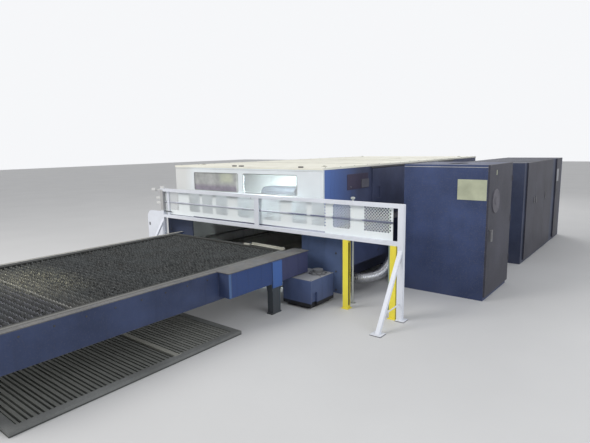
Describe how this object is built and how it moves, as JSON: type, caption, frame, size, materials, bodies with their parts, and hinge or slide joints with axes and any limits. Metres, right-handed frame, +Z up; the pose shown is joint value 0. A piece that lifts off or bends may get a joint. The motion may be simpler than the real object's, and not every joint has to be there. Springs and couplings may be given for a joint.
{
  "type": "fiber laser cutting machine",
  "caption": "Flat-bed fiber laser cutting machine with a two-level shuttle table, slatted pallets, guard fence with light barrier, windowed cover, fume filter cabinet and laser cabinets.",
  "frame": {"origin": "middle of the floor rectangle the whole machine covers, on the floor", "axes": "+Y into the machine, the way the pallets travel (longest extent); +X to the side with the cabinets; +Z up"},
  "size_m": [6.2346, 12.38, 2],
  "materials": {
    "navy_paint": "satin navy paint, dusty and scuffed",
    "blue_paint": "satin blue paint, dusty and scuffed",
    "white_paint": "satin off-white paint, slightly dirty",
    "yellow_paint": "gloss yellow paint",
    "worn_grey_steel": "worn grey steel",
    "dark_steel": "dull dark steel, dusty",
    "machined_steel": "plain machined steel",
    "bright_duct": "bright ribbed duct",
    "brass": "turned",
    "clear_pane": "tinted clear pane"
  },
  "bodies": {
    "machine": {"bed_cross": "navy_paint", "bed_left": "navy_paint", "bed_right": "navy_paint", "chiller": "white_paint", "cover_front": "white_paint", "cover_left": "navy_paint", "cover_rear": "navy_paint", "cover_right": "navy_paint", "drive_housing": "blue_paint", "drive_motor": "machined_steel", "end_plate": "white_paint", "far_beam": "blue_paint", "fence_frame": "white_paint", "fence_panel": "white_paint", "filter_cabinet": "navy_paint", "filter_unit": "worn_grey_steel", "floor_grate": "dark_steel", "front_plate": "blue_paint", "front_stand": "dark_steel", "fume_duct": "bright_duct", "guide_rail_left": "machined_steel", "guide_rail_right": "machined_steel", "laser_cabinet": "navy_paint", "laser_source": "white_paint", "leg_far_rear": "dark_steel", "leg_near_rear": "dark_steel", "light_column_left": "yellow_paint", "light_column_right": "yellow_paint", "lower_rail_far": "machined_steel", "lower_rail_near": "machined_steel", "near_beam": "blue_paint", "near_top_strip": "worn_grey_steel", "roof": "white_paint", "scrap_tray": "dark_steel", "upper_rail_far": "machined_steel", "upper_rail_near": "machined_steel", "window_left": "clear_pane", "window_right": "clear_pane", "work_lamp": "white_paint"},
    "upper_pallet": {"upper_pallet": "dark_steel"},
    "lower_pallet": {"lower_pallet": "dark_steel"},
    "bridge": {"bridge": "white_paint"},
    "carriage": {"carriage": "blue_paint"},
    "cutting_head": {"cutting_head": "white_paint", "nozzle": "brass"},
    "side_door": {"side_door": "navy_paint"},
    "filter_door": {"filter_door": "navy_paint"},
    "filter_handle": {"filter_handle": "machined_steel"},
    "laser_door_a": {"laser_door_a": "navy_paint"},
    "laser_door_b": {"laser_door_b": "navy_paint"},
    "laser_door_c": {"laser_door_c": "navy_paint"},
    "laser_door_d": {"laser_door_d": "navy_paint"},
    "lower_wheel_front_far": {"lower_wheel_front_far": "machined_steel"},
    "lower_wheel_front_near": {"lower_wheel_front_near": "machined_steel"},
    "lower_wheel_rear_far": {"lower_wheel_rear_far": "machined_steel"},
    "lower_wheel_rear_near": {"lower_wheel_rear_near": "machined_steel"},
    "upper_wheel_front_far": {"upper_wheel_front_far": "machined_steel"},
    "upper_wheel_front_near": {"upper_wheel_front_near": "machined_steel"},
    "upper_wheel_rear_far": {"upper_wheel_rear_far": "machined_steel"},
    "upper_wheel_rear_near": {"upper_wheel_rear_near": "machined_steel"}
  },
  "joints": [
    {"name": "upper_pallet_slide", "type": "slide", "parent": "machine", "child": "upper_pallet", "axis": [0, 1, 0], "range_m": [0, 4.75]},
    {"name": "lower_pallet_slide", "type": "slide", "parent": "machine", "child": "lower_pallet", "axis": [0, 1, 0], "range_m": [0, 4.75]},
    {"name": "upper_wheel_front_near_spin", "type": "hinge", "parent": "upper_pallet", "child": "upper_wheel_front_near", "pos_m": [0.577, -5.71, 0.6397], "axis": [1, 0, 0], "continuous": true},
    {"name": "upper_wheel_rear_near_spin", "type": "hinge", "parent": "upper_pallet", "child": "upper_wheel_rear_near", "pos_m": [0.577, -2.27, 0.6397], "axis": [1, 0, 0], "continuous": true},
    {"name": "upper_wheel_front_far_spin", "type": "hinge", "parent": "upper_pallet", "child": "upper_wheel_front_far", "pos_m": [-1.8976, -5.71, 0.6397], "axis": [1, 0, 0], "continuous": true},
    {"name": "upper_wheel_rear_far_spin", "type": "hinge", "parent": "upper_pallet", "child": "upper_wheel_rear_far", "pos_m": [-1.8976, -2.27, 0.6397], "axis": [1, 0, 0], "continuous": true},
    {"name": "lower_wheel_front_near_spin", "type": "hinge", "parent": "lower_pallet", "child": "lower_wheel_front_near", "pos_m": [0.577, -5.71, 0.4544], "axis": [1, 0, 0], "continuous": true},
    {"name": "lower_wheel_rear_near_spin", "type": "hinge", "parent": "lower_pallet", "child": "lower_wheel_rear_near", "pos_m": [0.577, -2.27, 0.4544], "axis": [1, 0, 0], "continuous": true},
    {"name": "lower_wheel_front_far_spin", "type": "hinge", "parent": "lower_pallet", "child": "lower_wheel_front_far", "pos_m": [-1.8976, -5.71, 0.4544], "axis": [1, 0, 0], "continuous": true},
    {"name": "lower_wheel_rear_far_spin", "type": "hinge", "parent": "lower_pallet", "child": "lower_wheel_rear_far", "pos_m": [-1.8976, -2.27, 0.4544], "axis": [1, 0, 0], "continuous": true},
    {"name": "bridge_slide", "type": "slide", "parent": "machine", "child": "bridge", "axis": [0, 1, 0], "range_m": [-0.04, 4]},
    {"name": "carriage_slide", "type": "slide", "parent": "bridge", "child": "carriage", "axis": [1, 0, 0], "range_m": [-1.63, 0.44]},
    {"name": "head_slide", "type": "slide", "parent": "carriage", "child": "cutting_head", "axis": [0, 0, 1], "range_m": [-0.1, 0.12]},
    {"name": "side_door_slide", "type": "slide", "parent": "machine", "child": "side_door", "axis": [0, 1, 0], "range_m": [0, 1.9]},
    {"name": "filter_door_hinge", "type": "hinge", "parent": "machine", "child": "filter_door", "pos_m": [3.073, 0.92, 1], "axis": [0, 0, 1], "range_deg": [0, 110]},
    {"name": "filter_handle_turn", "type": "hinge", "parent": "filter_door", "child": "filter_handle", "pos_m": [3.0883, -0.205, 1.05], "axis": [1, 0, 0], "range_deg": [0, 90]},
    {"name": "laser_door_a_hinge", "type": "hinge", "parent": "machine", "child": "laser_door_a", "pos_m": [2.973, 2.5115, 1], "axis": [0, 0, -1], "range_deg": [0, 110]},
    {"name": "laser_door_b_hinge", "type": "hinge", "parent": "machine", "child": "laser_door_b", "pos_m": [2.973, 4.0885, 1], "axis": [0, 0, 1], "range_deg": [0, 90]},
    {"name": "laser_door_c_hinge", "type": "hinge", "parent": "machine", "child": "laser_door_c", "pos_m": [2.973, 4.8785, 1], "axis": [0, 0, 1], "range_deg": [0, 110]},
    {"name": "laser_door_d_hinge", "type": "hinge", "parent": "machine", "child": "laser_door_d", "pos_m": [2.973, 5.8985, 1], "axis": [0, 0, 1], "range_deg": [0, 110]}
  ]
}
